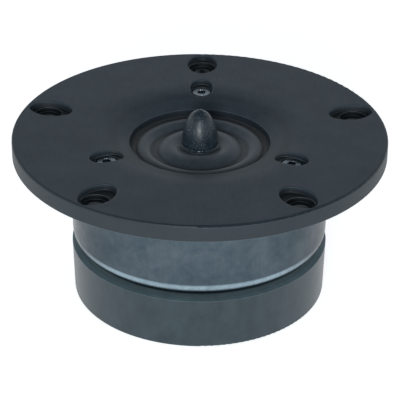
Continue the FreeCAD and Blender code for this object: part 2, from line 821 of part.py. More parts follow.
def make_can():
    outer, corner, wall = CAN_OUTSIDE, S.can_corner_radius, S.can_wall
    body = turned_piece("motor_can", [
        (half(S.can_opening_dia), CAN_UNDER),
        (CAN_FLAT, CAN_UNDER, corner, -1),
        (outer, CAN_UNDER + corner),
        (outer, FLANGE_REAR),
        (CAN_INSIDE, FLANGE_REAR),
        (CAN_INSIDE, CAN_UNDER + corner, corner - wall, 1),
        (CAN_FLAT, YOKE_UNDER),
        (half(S.can_opening_dia), YOKE_UNDER),
    ])
    side = half(S.terminal_board_width) + half(S.notch_gap)
    notch = rectangle(ZERO - side, side, BOARD_START, outer + wall)
    depth = S.membrane_thick + S.carrier_thick + S.notch_below
    outline_pocket(body, "terminal_notch", FLANGE_REAR, notch, depth, terminal_turn())
    screw_holes(body, "can_screw", YOKE_UNDER, REAR_SCREW_PLACE, SCREW_HOLE, wall)


def make_chamber():
    top, foot = CHAMBER_OUT, CHAMBER_OUT - S.chamber_draft
    rim = top - S.chamber_wall
    inside = rim - S.chamber_ledge
    turned_piece("rear_chamber_cup", [
        (ZERO, ZERO),
        (foot - S.chamber_foot_radius, ZERO, S.chamber_foot_radius, -1),
        (foot, S.chamber_foot_radius),
        (top, CHAMBER_TOP),
        (rim, CHAMBER_TOP),
        (rim, LID_UNDER),
        (inside, LID_UNDER),
        (inside, S.chamber_floor),
        (ZERO, S.chamber_floor),
    ])
    opening = half(S.can_opening_dia)
    lid = turned_piece("rear_chamber_lid", rectangle(opening, rim - S.lid_fit, LID_UNDER, CHAMBER_TOP))
    screw_holes(lid, "lid", CHAMBER_TOP, REAR_SCREW_PLACE, SCREW_HOLE, S.lid_thick)
    gasket = turned_piece("chamber_gasket", rectangle(opening, CAN_FLAT - S.gasket_inset, CHAMBER_TOP, CAN_UNDER))
    screw_holes(gasket, "rear_gasket", CAN_UNDER, REAR_SCREW_PLACE, SCREW_HOLE, S.gasket_thick)
    make_screws("chamber_screws", REAR_SCREW_PLACE, LID_UNDER, YOKE_UNDER + S.rear_screw_grip,
                S.rear_screw_head_dia, S.rear_screw_head_height, True)
    turned_piece("chamber_damping_wad", rectangle(
        ZERO, inside - S.wad_gap, S.chamber_floor, S.chamber_floor + S.wad_thick))


def finished_pieces():
    """Every sub-part, once each object in the document is sound."""
    doc.recompute()
    for item in doc.Objects:
        if "Invalid" in item.State or "Error" in item.State:
            raise RuntimeError(f"{item.Label} failed: {item.State}")
    pieces = [item for item in doc.Objects if item.TypeId in ("PartDesign::Body", "Part::Feature")]
    for piece in pieces:
        if piece.Shape.isNull() or not piece.Shape.isValid():
            raise RuntimeError(f"{piece.Label} has no valid shape")
    return pieces


def write_pieces():
    os.makedirs("parts", exist_ok=True)
    for piece in finished_pieces():
        piece.Shape.exportStep(os.path.join("parts", f"{piece.Label}.step"))
        print(f"{piece.Label}: {len(piece.Shape.Solids)} solid(s), {piece.Shape.Volume:.2f} mm3")


fill_sheet()
make_faceplate()
make_face_screws()
make_front_gasket()
make_membrane()
make_carrier()
make_tabs()
make_rivets()
make_coil()
make_wires()
make_motor()
make_plug()
make_can()
make_chamber()
write_pieces()
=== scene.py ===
import bpy
import math
from mathutils import Matrix, Vector, noise


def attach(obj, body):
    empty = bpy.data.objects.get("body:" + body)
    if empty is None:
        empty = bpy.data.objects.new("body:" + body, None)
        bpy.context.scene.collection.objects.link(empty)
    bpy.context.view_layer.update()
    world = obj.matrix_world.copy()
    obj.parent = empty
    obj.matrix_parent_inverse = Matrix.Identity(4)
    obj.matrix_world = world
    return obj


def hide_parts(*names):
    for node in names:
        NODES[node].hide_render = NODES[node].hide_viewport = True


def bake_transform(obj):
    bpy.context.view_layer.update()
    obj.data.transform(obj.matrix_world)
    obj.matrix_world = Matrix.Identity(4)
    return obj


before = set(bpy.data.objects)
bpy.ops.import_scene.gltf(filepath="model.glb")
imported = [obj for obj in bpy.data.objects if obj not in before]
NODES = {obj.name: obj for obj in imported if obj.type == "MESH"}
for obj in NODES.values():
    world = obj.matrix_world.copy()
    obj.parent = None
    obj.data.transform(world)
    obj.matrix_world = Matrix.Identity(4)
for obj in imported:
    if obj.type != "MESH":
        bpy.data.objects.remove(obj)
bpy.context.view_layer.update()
MM = 0.001
FIXED, MOVING = "tweeter", "voice_coil"

# Sizes in millimetres, as the CAD model has them. R is a distance from the axis, Z a height above the rear.
RIM_R, GROOVE_R, BAND_OUT_R, BAND_IN_R, NECK_R, BORE_R = 21.5, 17.7, 13.3, 11.9, 6.1, 2.02
RIM_Z, BAND_Z, NECK_Z = 42.7, 41.9, 43.2
OUTER_ROLL, INNER_ROLL, CLOTH = 2.75, 4.4, 0.28
FOOT_Z, FACE_Z, PLATE_R, THROAT_R = 43.8, 47.4, 52.0, 19.6
LEAD_COIL_R, LEAD_RIM_R, LEAD_SIDE, LEAD_END = 12.9, 17.4, 6.0, 29.5
LEAD_LOW_Z, LEAD_UP_Z, LEAD_FLAT_Z, LEAD_BEND, LEAD_R = 40.35, 41.3, 42.1, 0.3, 0.15
LEAD_STEP, LEAD_STIFF = 0.25, 0.3
WAD_R, WAD_LOW_Z, WAD_HIGH_Z = 31.0, 2.0, 8.0
WAD_EDGE, WAD_EDGE_R, WAD_CORE_R = 2.4, 2.2, 0.05
LEAD_TURN = 36.0  # degrees from the leads' own frame to the terminals
LATHE_STEPS, WAD_STEPS, WIRE_SIDES = 256, 160, 10

# Studio, in metres, degrees and watts
CENTRE = Vector((0, 0, FACE_Z * MM))
DISTANCE, RISE, SWING, PITCH, YAW, ROLL, LENS = 0.53455, 27.16, 0.7, -2.005, 0.017, 0.43, 173.7
SENSOR_WIDTH, CLIP_START = 36.0, 0.01
SOFTBOX_PLACE, SOFTBOX_AIM = (-0.06, -0.87, 0.29), (0, 0, 0.045)
SOFTBOX_SIZE, SOFTBOX_POWER, SOFTBOX_COLOUR = 0.20, 3.1, (0.93, 0.98, 1.0)
FLOOR_REACH, FLOOR_LOW, FLOOR_GLOW = 4.0, -0.0002, 0.72
# (height in the sky, brightness): bright walls all round, falling off to a dark ceiling
WALL_LIGHT = ((0.0, 0.88), (0.22, 0.84), (0.42, 0.70), (0.55, 0.42), (0.75, 0.19), (0.95, 0.09))


# ---------------------------------------------------------------- materials
class Finish:
    """One procedural material, built node by node. Sizes are in millimetres on the real piece."""

    def __init__(self, name, metallic=0.0, specular=0.5):
        self.material = bpy.data.materials.new(name)
        self.material.use_nodes = True
        self.tree = self.material.node_tree
        self.shader = next(n for n in self.tree.nodes if n.type == "BSDF_PRINCIPLED")
        self.shader.inputs["Metallic"].default_value = metallic
        self.shader.inputs["Specular IOR Level"].default_value = specular
        self.shader.inputs["IOR"].default_value = 1.5
        self.place = self.add("ShaderNodeTexCoord").outputs["Object"]

    def add(self, kind, inputs=(), **settings):
        node = self.tree.nodes.new(kind)
        for key, value in settings.items():
            setattr(node, key, value)
        for key, value in dict(inputs).items():
            self.feed(node.inputs[key], value)
        return node

    def feed(self, socket, value):
        if isinstance(value, bpy.types.NodeSocket):
            self.tree.links.new(value, socket)
        else:
            socket.default_value = value

    def stretched(self, x, y, z):
        """The place on the piece, with each axis multiplied."""
        return self.add("ShaderNodeMapping", {"Vector": self.place, "Scale": (x, y, z)}).outputs[0]

    def polar(self, turns=1.0):
        """(angle round the axis, distance from the axis, height) as a place, for marks that go round."""
        parts = self.add("ShaderNodeSeparateXYZ", {0: self.place}).outputs
        angle = self.math("ARCTAN2", parts[1], parts[0])
        flat = self.math("POWER", self.math("ADD", self.math("MULTIPLY", parts[0], parts[0]),
                                            self.math("MULTIPLY", parts[1], parts[1])), 0.5)
        around = self.math("MULTIPLY", angle, turns * MM)
        return self.add("ShaderNodeCombineXYZ", {0: around, 1: flat, 2: parts[2]}).outputs[0]

    def math(self, operation, a, b=0.0, clamp=False):
        return self.add("ShaderNodeMath", {0: a, 1: b}, operation=operation, use_clamp=clamp).outputs[0]

    def noise(self, size, detail=3.0, roughness=0.55, distortion=0.0, place=None):
        return self.add("ShaderNodeTexNoise", {
            "Vector": place or self.place, "Scale": 1 / (size * MM), "Detail": detail,
            "Roughness": roughness, "Distortion": distortion}).outputs[0]

    def cells(self, size):
        return self.add("ShaderNodeTexVoronoi", {"Vector": self.place, "Scale": 1 / (size * MM)}).outputs[0]

    def wave(self, size, axis, distortion):
        """Bands of that width across one axis."""
        return self.add("ShaderNodeTexWave", {
            "Vector": self.place, "Scale": 0.314 / (size * MM), "Distortion": distortion},
            bands_direction=axis).outputs["Fac"]

    def remap(self, value, low, high, to_low, to_high):
        return self.add("ShaderNodeMapRange", {
            "Value": value, "From Min": low, "From Max": high,
            "To Min": to_low, "To Max": to_high}).outputs[0]

    def blend(self, amount, first, second):
        return self.add("ShaderNodeMix", {0: amount, 6: first, 7: second}, data_type="RGBA").outputs[2]

    def edges(self, size):
        """1 along sharp edges, 0 on flat faces, over a width of about size."""
        soft = self.add("ShaderNodeBevel", {"Radius": size * MM}, samples=6).outputs[0]
        sharp = self.add("ShaderNodeNewGeometry").outputs["Normal"]
        match = self.add("ShaderNodeVectorMath", {0: soft, 1: sharp}, operation="DOT_PRODUCT")
        return self.remap(match.outputs["Value"], 0.995, 0.80, 0.0, 1.0)

    def rounded(self, size):
        """A normal that rounds sharp edges over that size, so that they catch the light."""
        return self.add("ShaderNodeBevel", {"Radius": size * MM}, samples=8).outputs[0]

    def bump(self, height, distance, strength=1.0, normal=None):
        inputs = {"Height": height, "Distance": distance * MM, "Strength": strength}
        if normal:
            inputs["Normal"] = normal
        return self.add("ShaderNodeBump", inputs).outputs[0]

    def done(self, colour, roughness, normal=None):
        self.feed(self.shader.inputs["Base Color"], colour)
        self.feed(self.shader.inputs["Roughness"], roughness)
        if normal:
            self.feed(self.shader.inputs["Normal"], normal)
        return self.material


def rgb(red, green, blue):
    return red, green, blue, 1.0


def moulded_plastic(name, dark, light, grain, relief, rough, worn):
    """Moulding with even fine grain, faint flow clouding, and edges rubbed a little lighter and smoother."""
    f = Finish(name)
    cloud = f.noise(9.0, 3.0, 0.6)
    fine = f.noise(grain, 2.0, 0.6)
    edge = f.edges(0.35)
    tone = f.math("ADD", f.math("MULTIPLY", cloud, 0.6), f.math("MULTIPLY", fine, 0.4))
    colour = f.blend(f.remap(tone, 0.35, 0.65, 0.0, 1.0), dark, light)
    colour = f.blend(f.math("MULTIPLY", edge, 0.6, True), colour, worn)
    gloss = f.remap(fine, 0.3, 0.7, rough - 0.05, rough + 0.06)
    gloss = f.math("SUBTRACT", gloss, f.math("MULTIPLY", edge, 0.08))
    return f.done(colour, gloss, f.bump(fine, relief, 0.8, f.rounded(0.15)))


def faceplate_plastic():
    """The faceplate's grained moulding. Its outer side, its recesses and the wall of its opening are painted
    darker than its face, as painted shade.
    """
    f = Finish("faceplate_grained_black", specular=0.5)
    cloud = f.noise(9.0, 3.0, 0.6)
    fine = f.noise(0.42, 2.0, 0.6)
    brushed = f.noise(0.5, 3.0, 0.7, place=f.stretched(1.0, 0.12, 1.0))
    where = f.add("ShaderNodeSeparateXYZ", {0: f.polar()}).outputs
    tone = f.math("ADD", f.math("MULTIPLY", cloud, 0.45), f.math("MULTIPLY", fine, 0.25))
    tone = f.math("ADD", tone, f.math("MULTIPLY", brushed, 0.30))
    amount = f.remap(tone, 0.38, 0.62, 0.0, 1.0)
    colour = f.blend(amount, rgb(0.019, 0.032, 0.042), rgb(0.040, 0.056, 0.069))
    # Painted shade: the recesses are painted darker the deeper they lie below the face.
    painted_recess_shade = f.remap(where[2], (FACE_Z - 0.35) * MM, (FACE_Z - 1.5) * MM, 0.0, 0.9)
    out = f.math("MULTIPLY", where[1], 1 / MM)
    inside = f.math("MULTIPLY", f.remap(out, PLATE_R - 0.6, PLATE_R - 1.2, 0.0, 1.0),
                    f.remap(out, THROAT_R + 3.0, THROAT_R + 5.0, 0.0, 1.0))
    # Painted shade: the faceplate's outer side is painted darker.
    side = f.remap(out, PLATE_R - 0.8, PLATE_R - 0.2, 0.0, 0.75)
    colour = f.blend(f.math("MULTIPLY", painted_recess_shade, inside), colour, rgb(0.006, 0.009, 0.012))
    colour = f.blend(side, colour, rgb(0.002, 0.010, 0.015))
    # Painted shade: the wall round the opening is painted darker below the face.
    throat = f.math("MULTIPLY", f.remap(where[2], (FACE_Z - 2.4) * MM, (FACE_Z - 3.4) * MM, 0.0, 0.8),
                    f.remap(out, THROAT_R + 1.5, THROAT_R + 0.6, 0.0, 1.0))
    colour = f.blend(throat, colour, rgb(0.006, 0.010, 0.015))
    edge = f.edges(0.35)
    colour = f.blend(f.math("MULTIPLY", edge, 0.9, True), colour, rgb(0.120, 0.158, 0.184))
    gloss = f.math("SUBTRACT", f.remap(fine, 0.3, 0.7, 0.50, 0.62), f.math("MULTIPLY", edge, 0.16))
    height = f.math("ADD", f.math("MULTIPLY", fine, 0.7), f.math("MULTIPLY", brushed, 0.5))
    return f.done(colour, gloss, f.bump(height, 0.03, 0.9, f.rounded(0.2)))


def bright_metal(name, dark, light, rough, mottle=3.0, relief=0.004, edge=0.12):
    """Plated or bare metal: clouded tone, fine handling marks, soft bright edges."""
    f = Finish(name, metallic=1.0)
    cloud = f.noise(mottle, 4.0, 0.65, 0.6)
    fine = f.noise(0.25, 2.0, 0.6)
    colour = f.blend(f.remap(cloud, 0.3, 0.7, 0.0, 1.0), dark, light)
    colour = f.blend(f.math("MULTIPLY", f.edges(edge), 0.5, True), colour, rgb(0.75, 0.78, 0.80))
    gloss = f.remap(f.math("ADD", cloud, fine), 0.7, 1.3, rough - 0.06, rough + 0.08)
    return f.done(colour, gloss, f.bump(fine, relief, 0.7, f.rounded(edge)))


def turned_metal(name, dark, light, rough, pitch=0.12):
    """Turned metal, with fine rings round the axis."""
    f = Finish(name, metallic=1.0)
    rings = f.noise(pitch, 3.0, 0.7, place=f.polar(0.02))
    cloud = f.noise(4.0, 3.0)
    colour = f.blend(f.remap(cloud, 0.3, 0.7, 0.0, 1.0), dark, light)
    gloss = f.remap(rings, 0.3, 0.7, rough - 0.05, rough + 0.08)
    return f.done(colour, gloss, f.bump(rings, 0.006, 0.8, f.rounded(0.12)))


def zinc_can():
    """Zinc plate on drawn steel: cloudy patches and short upright marks, with painted shade away from the
    front.
    The lower corner has a painted highlight along its front, and painted shade below that, where it faces
    down."""
    f = Finish("can_zinc", metallic=1.0)
    patches = f.noise(8.0, 4.0, 0.60, 0.3)
    small = f.noise(2.0, 4.0, 0.7, 0.3)
    drawn = f.noise(1.0, 3.0, 0.6, place=f.stretched(1.6, 1.6, 0.16))
    tone = f.math("ADD", f.math("MULTIPLY", patches, 0.60), f.math("MULTIPLY", small, 0.28))
    tone = f.math("ADD", tone, f.math("MULTIPLY", drawn, 0.12))
    amount = f.remap(tone, 0.36, 0.64, 0.0, 1.0)
    colour = f.blend(amount, rgb(0.054, 0.080, 0.100), rgb(0.102, 0.130, 0.152))
    forward = f.add("ShaderNodeSeparateXYZ", {0: f.place}).outputs[1]
    # Painted shade: the can is painted darker away from its front.
    painted_shade_away_from_front = f.remap(forward, -32 * MM, -12 * MM, 0.0, 0.7)
    colour = f.blend(painted_shade_away_from_front, colour, rgb(0.022, 0.030, 0.036))
    down = f.add("ShaderNodeSeparateXYZ", {0: f.add("ShaderNodeNewGeometry").outputs["Normal"]}).outputs[2]
    # Painted highlight: a bright band on the lower corner, strongest along the front and broken up by noise.
    corner = f.math("MULTIPLY", f.remap(down, -0.04, -0.12, 0.0, 1.0),
                    f.remap(down, -0.46, -0.26, 0.0, 1.0))
    side = f.remap(forward, -16 * MM, -27 * MM, 0.12, 1.0)
    # Painted shade: where the corner faces further down it is painted darker.
    under = f.remap(down, -0.30, -0.50, 0.0, 0.8)
    broken = f.remap(small, 0.3, 0.6, 0.65, 1.0)
    painted_corner_highlight = f.math("MULTIPLY", f.math("MULTIPLY", corner, side), broken, True)
    # Painted shade below the corner, then the painted highlight along its front.
    colour = f.blend(under, colour, rgb(0.012, 0.024, 0.032))
    colour = f.blend(painted_corner_highlight, colour, rgb(0.30, 0.40, 0.46))
    gloss = f.remap(tone, 0.40, 0.60, 0.38, 0.29)
    gloss = f.math("SUBTRACT", gloss, f.math("MULTIPLY", painted_corner_highlight, 0.08))
    height = f.math("ADD", f.math("MULTIPLY", small, 0.5), f.math("MULTIPLY", drawn, 0.5))
    return f.done(colour, gloss, f.bump(height, 0.02, 0.5))


def chamber_plastic():
    """Smoother black moulding with a semi-gloss skin and faint flow marks, painted lighter where it faces
    up, as painted light.
    """
    f = Finish("chamber_plastic", specular=0.42)
    fine = f.noise(0.7, 3.0, 0.6)
    flow = f.noise(4.0, 4.0, 0.6, 0.3, place=f.stretched(1.0, 1.0, 0.7))
    amount = f.remap(flow, 0.35, 0.65, 0.0, 1.0)
    colour = f.blend(amount, rgb(0.016, 0.031, 0.040), rgb(0.028, 0.047, 0.058))
    up = f.add("ShaderNodeSeparateXYZ", {0: f.add("ShaderNodeNewGeometry").outputs["Normal"]}).outputs[2]
    # Painted light: faces that point up are painted lighter.
    dust_and_painted_light = f.math("MULTIPLY", f.remap(up, 0.6, 0.9, 0.0, 1.0), f.remap(flow, 0.3, 0.7, 0.75, 1.0))
    colour = f.blend(dust_and_painted_light, colour, rgb(0.190, 0.270, 0.300))
    colour = f.blend(f.math("MULTIPLY", f.edges(0.3), 0.8, True), colour, rgb(0.15, 0.21, 0.23))
    gloss = f.remap(f.math("ADD", fine, flow), 0.7, 1.3, 0.30, 0.42)
    return f.done(colour, gloss, f.bump(fine, 0.006, 0.6, f.rounded(0.12)))


def membrane_cloth():
    """Coated woven diaphragm: a fine plain weave, darker at the clamped rim and along the coil band."""
    f = Finish("diaphragm_cloth", specular=0.45)
    f.shader.inputs["Sheen Weight"].default_value = 0.15
    f.shader.inputs["Sheen Roughness"].default_value = 0.5
    warp, weft = f.wave(0.34, "X", 0.3), f.wave(0.34, "Y", 0.3)
    weave = f.math("MULTIPLY", warp, weft)
    coat = f.noise(2.2, 3.0, 0.6)
    fine = f.noise(0.22, 2.0, 0.6)
    height = f.math("ADD", f.math("MULTIPLY", weave, 0.7), f.math("MULTIPLY", fine, 0.5))
    amount = f.remap(coat, 0.35, 0.65, 0.0, 1.0)
    colour = f.blend(amount, rgb(0.028, 0.042, 0.054), rgb(0.042, 0.060, 0.074))
    colour = f.blend(f.math("MULTIPLY", weave, 0.25), colour, rgb(0.07, 0.085, 0.095))
    out = f.math("MULTIPLY", f.add("ShaderNodeSeparateXYZ", {0: f.polar()}).outputs[1], 1 / MM)
    # Darker at the clamped rim and along the coil band.
    rim = f.remap(out, GROOVE_R - 0.7, GROOVE_R + 0.1, 0.0, 0.9)
    off_band = f.math("ABSOLUTE", f.math("SUBTRACT", out, (BAND_OUT_R + BAND_IN_R) / 2))
    band = f.remap(off_band, 1.3, 0.4, 0.0, 0.6)
    rim_and_band_darkening = f.math("MAXIMUM", rim, band)
    colour = f.blend(rim_and_band_darkening, colour, rgb(0.004, 0.005, 0.007))
    gloss = f.remap(f.math("ADD", coat, fine), 0.7, 1.3, 0.40, 0.55)
    return f.done(colour, gloss, f.bump(height, 0.012, 0.7))


def plug_paint():
    """Satin black paint with orange peel and pale, dusty specks, glossier round the foot."""
    f = Finish("plug_satin_paint", specular=0.6)
    peel = f.noise(0.8, 3.0, 0.6)
    speck = f.remap(f.cells(0.34), 0.14, 0.36, 1.0, 0.0)
    few = f.remap(f.noise(0.8, 2.0), 0.36, 0.54, 0.0, 1.0)
    dust_and_painted_light = f.math("MULTIPLY", speck, few)
    colour = f.blend(f.math("MULTIPLY", dust_and_painted_light, 0.8), rgb(0.008, 0.018, 0.026), rgb(0.20, 0.28, 0.32))
    height = f.add("ShaderNodeSeparateXYZ", {0: f.place}).outputs[2]
    lacquer = f.remap(height, (FOOT_Z + 0.9) * MM, (FOOT_Z + 0.3) * MM, 0.0, 0.30)
    gloss = f.math("SUBTRACT", f.remap(peel, 0.3, 0.7, 0.34, 0.44), lacquer)
    relief = f.math("ADD", f.math("MULTIPLY", peel, 0.6), f.math("MULTIPLY", dust_and_painted_light, 0.5))
    return f.done(colour, gloss, f.bump(relief, 0.05, 1.0, f.rounded(0.1)))


def fibre(name, dark, light, size, relief):
    """Pressed fibre or foam."""
    f = Finish(name, specular=0.3)
    strands = f.noise(size, 5.0, 0.75, 1.5)
    pores = f.cells(size * 1.4)
    colour = f.blend(f.remap(strands, 0.3, 0.7, 0.0, 1.0), dark, light)
    height = f.math("ADD", strands, f.math("MULTIPLY", pores, 0.5))
    return f.done(colour, f.remap(strands, 0.3, 0.7, 0.85, 0.97), f.bump(height, relief, 1.0))


def ferrite():
    """Sintered ceramic: matt charcoal with ground specks."""
    f = Finish("ferrite_ceramic", specular=0.4)
    speck = f.noise(0.35, 4.0, 0.7)
    cloud = f.noise(6.0, 3.0)
    amount = f.remap(f.math("ADD", speck, cloud), 0.7, 1.3, 0.0, 1.0)
    colour = f.blend(amount, rgb(0.022, 0.023, 0.026), rgb(0.055, 0.057, 0.06))
    return f.done(colour, f.remap(speck, 0.3, 0.7, 0.5, 0.75), f.bump(speck, 0.02, 0.8, f.rounded(0.2)))


def wire_metal(name, dark, light, rough):
    """Enamelled or bare thin wire."""
    f = Finish(name, metallic=1.0)
    cloud = f.noise(0.8, 3.0)
    colour = f.blend(f.remap(cloud, 0.3, 0.7, 0.0, 1.0), dark, light)
    gloss = f.remap(cloud, 0.3, 0.7, rough - 0.05, rough + 0.1)
    return f.done(colour, gloss, f.bump(cloud, 0.004, 0.5))


def make_finishes():
    """The material of each CAD material slot."""
    screw = bright_metal("screw_zinc_steel", rgb(0.14, 0.17, 0.19), rgb(0.30, 0.34, 0.37), 0.27, 1.2)
    carrier = moulded_plastic("carrier_black_moulding", rgb(0.018, 0.021, 0.024), rgb(0.034, 0.038, 0.042),
                              0.35, 0.015, 0.5, rgb(0.06, 0.066, 0.07))
    clamp = moulded_plastic("clamp_ring_black", rgb(0.012, 0.018, 0.023), rgb(0.022, 0.030, 0.036),
                            0.3, 0.008, 0.45, rgb(0.05, 0.065, 0.075))
    tab = bright_metal("tab_tinned_brass", rgb(0.55, 0.54, 0.50), rgb(0.72, 0.71, 0.67), 0.28, 1.5)
    rivet = bright_metal("rivet_nickel_brass", rgb(0.48, 0.44, 0.34), rgb(0.68, 0.63, 0.5), 0.3, 0.9)
    former = bright_metal("former_aluminium_foil", rgb(0.6, 0.61, 0.62), rgb(0.78, 0.79, 0.8), 0.25, 1.6)
    winding = wire_metal("winding_enamelled_copper", rgb(0.36, 0.13, 0.06), rgb(0.55, 0.22, 0.10), 0.26)
    motor = turned_metal("motor_turned_steel", rgb(0.42, 0.43, 0.44), rgb(0.62, 0.62, 0.61), 0.33)
    return {
        "faceplate_moulding": faceplate_plastic(),
        "screw_steel": screw,
        "gasket": fibre("gasket_fibre", rgb(0.018, 0.019, 0.021), rgb(0.05, 0.052, 0.055), 0.5, 0.03),
        "membrane": membrane_cloth(),
        "carrier_moulding": carrier,
        "tab_metal": tab,
        "rivet_metal": rivet,
        "former": former,
        "winding": winding,
        "lead_wire": wire_metal("lead_tinned_copper", rgb(0.5, 0.36, 0.24), rgb(0.7, 0.55, 0.4), 0.35),
        "motor_steel": motor,
        "ferrite": ferrite(),
        "copper": turned_metal("cap_copper", rgb(0.55, 0.23, 0.12), rgb(0.75, 0.36, 0.2), 0.25, 0.08),
        "plug_paint": plug_paint(),
        "clamp_moulding": clamp,
        "can_steel": zinc_can(),
        "chamber_moulding": chamber_plastic(),
        "felt": fibre("wool_felt", rgb(0.20, 0.19, 0.17), rgb(0.46, 0.45, 0.42), 0.6, 0.15),
    }


SLOT_OF = {
    "faceplate": "faceplate_moulding", "faceplate_screws": "screw_steel", "front_gasket": "gasket",
    "diaphragm_carrier": "carrier_moulding", "terminal_tab_positive": "tab_metal",
    "terminal_tab_negative": "tab_metal", "terminal_rivets": "rivet_metal", "voice_coil_former": "former",
    "voice_coil_winding": "winding", "lead_wires": "lead_wire", "ring_diaphragm": "membrane",
    "top_plate": "motor_steel", "ferrite_magnet": "ferrite", "pole_yoke": "motor_steel",
    "copper_cap": "copper",
    "phase_plug": "plug_paint", "inner_clamp_ring": "clamp_moulding", "inner_spacer": "clamp_moulding",
    "plug_stud": "screw_steel", "motor_can": "can_steel", "rear_chamber_cup": "chamber_moulding",
    "rear_chamber_lid": "chamber_moulding", "chamber_gasket": "gasket", "chamber_screws": "screw_steel",
    "chamber_damping_wad": "felt",
}


def dress(obj, material):
    obj.data.materials.clear()
    obj.data.materials.append(material)


def dress_frame(finishes):
    for name, obj in NODES.items():
        dress(obj, finishes[SLOT_OF[name]])


# ---------------------------------------------------------------- mesh helpers
def new_piece(name, points, faces, slot, finishes):
    mesh = bpy.data.meshes.new(name)
    mesh.from_pydata(points, [], faces)
    mesh.validate()
    mesh.polygons.foreach_set("use_smooth", [True] * len(mesh.polygons))
    obj = bpy.data.objects.new(name, mesh)
    bpy.context.scene.collection.objects.link(obj)
    dress(obj, finishes[slot])
    return obj


def lathe(profile, segments):
    """Points and quads of a closed profile of (radius, height) turned round the axis."""
    points, faces = [], []
    count = len(profile)
    for step in range(segments):
        turn = 2 * math.pi * step / segments
        for radius, height in profile:
            points.append((radius * math.cos(turn), radius * math.sin(turn), height))
    for step in range(segments):
        here, there = step * count, (step + 1) % segments * count
        for i in range(count):
            j = (i + 1) % count
            faces.append((here + i, there + i, there + j, here + j))
    return points, faces


def arc(start, end, radius, steps):
    """Points of the arc from start to end, bulging up, without the start."""
    (x0, y0), (x1, y1) = start, end
    half = math.hypot(x1 - x0, y1 - y0) / 2
    rise = math.sqrt(radius * radius - half * half)
    nx, ny = (y1 - y0) / (2 * half), -(x1 - x0) / (2 * half)
    if ny > 0:
        nx, ny = -nx, -ny
    cx, cy = (x0 + x1) / 2 + nx * rise, (y0 + y1) / 2 + ny * rise
    a0, a1 = math.atan2(y0 - cy, x0 - cx), math.atan2(y1 - cy, x1 - cx)
    turn = (a1 - a0 + math.pi) % (2 * math.pi) - math.pi
    return [(cx + radius * math.cos(a0 + turn * i / steps), cy + radius * math.sin(a0 + turn * i / steps))
            for i in range(1, steps + 1)]


def thickened(line, thick):
    """The closed outline of a line with that thickness below it."""
    under = []
    for i, (x, y) in enumerate(line):
        ax, ay = line[max(i - 1, 0)]
        bx, by = line[min(i + 1, len(line) - 1)]
        long = math.hypot(bx - ax, by - ay)
        nx, ny = (by - ay) / long, -(bx - ax) / long
        if ny > 0:
            nx, ny = -nx, -ny
        under.append((x + nx * thick, y + ny * thick))
    return line + under[::-1]


# ---------------------------------------------------------------- diaphragm
def flat_run(start, end, steps):
    return [(start[0] + (end[0] - start[0]) * i / steps, start[1] + (end[1] - start[1]) * i / steps)
            for i in range(1, steps + 1)]


def diaphragm_line():
    line = [(RIM_R, RIM_Z)]
    line += flat_run(line[-1], (GROOVE_R, RIM_Z), 8)
    line += arc(line[-1], (BAND_OUT_R, BAND_Z), OUTER_ROLL, 36)
    line += flat_run(line[-1], (BAND_IN_R, BAND_Z), 5)
    line += arc(line[-1], (NECK_R, NECK_Z), INNER_ROLL, 40)
    line += flat_run(line[-1], (BORE_R, NECK_Z), 8)
    return line


def smooth_step(value):
    value = min(1.0, max(0.0, value))
    return value * value * (3 - 2 * value)


def coil_share(radius):
    """How far the diaphragm follows the coil at that radius: 1 at the coil band, 0 at both clamped rims."""
    if radius > BAND_OUT_R:
        return smooth_step((GROOVE_R - radius) / (GROOVE_R - BAND_OUT_R))
    if radius < BAND_IN_R:
        return smooth_step((radius - NECK_R) / (BAND_IN_R - NECK_R))
    return 1.0


def follow_coil(obj, share):
    """Bakes obj's placement into its mesh and works out each point's share of the coil's travel; the shares
    are not used.
    """
    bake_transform(obj)
    values = [share(v.co) for v in obj.data.vertices]


def make_diaphragm(finishes):
    outline = [(r * MM, z * MM) for r, z in thickened(diaphragm_line(), CLOTH)]
    points, faces = lathe(outline, LATHE_STEPS)
    obj = new_piece("ring_diaphragm_cloth", points, faces, "membrane", finishes)
    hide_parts("ring_diaphragm")
    follow_coil(obj, lambda v: coil_share(math.hypot(v.x, v.y) / MM))


# ---------------------------------------------------------------- lead wires
def tube(line, radius, sides):
    """Points and faces of a round wire along a line, with closed ends."""
    points, faces = [], []
    last = len(line) - 1
    for i, spot in enumerate(line):
        way = (line[min(i + 1, last)] - line[max(i - 1, 0)]).normalized()
        across = way.cross(Vector((1, 0, 0))).normalized()
        over = way.cross(across)
        for k in range(sides):
            turn = 2 * math.pi * k / sides
            points.append(spot + (across * math.cos(turn) + over * math.sin(turn)) * radius)
    for i in range(last):
        for k in range(sides):
            here, there = i * sides, (i + 1) * sides
            faces.append((here + k, here + (k + 1) % sides, there + (k + 1) % sides, there + k))
    faces.append(tuple(range(sides))[::-1])
    faces.append(tuple(last * sides + k for k in range(sides)))
    return points, faces


def rounded_line(corners, radius, steps=6):
    """The line through the corners, with each inner corner rounded."""
    line = [corners[0]]
    for before, corner, after in zip(corners, corners[1:], corners[2:]):
        back, on = (before - corner).normalized(), (after - corner).normalized()
        reach = radius / math.tan(back.angle(on) / 2)
        start, finish = corner + back * reach, corner + on * reach
        for step in range(steps + 1):
            t = step / steps
            line.append(start * (1 - t) ** 2 + corner * 2 * t * (1 - t) + finish * t ** 2)
    line.append(corners[-1])
    return line


def divided(line, step):
    """The same line with no gap longer than step."""
    out = [line[0]]
    for start, finish in zip(line, line[1:]):
        parts = max(1, math.ceil((finish - start).length / step))
        out += [start.lerp(finish, i / parts) for i in range(1, parts + 1)]
    return out


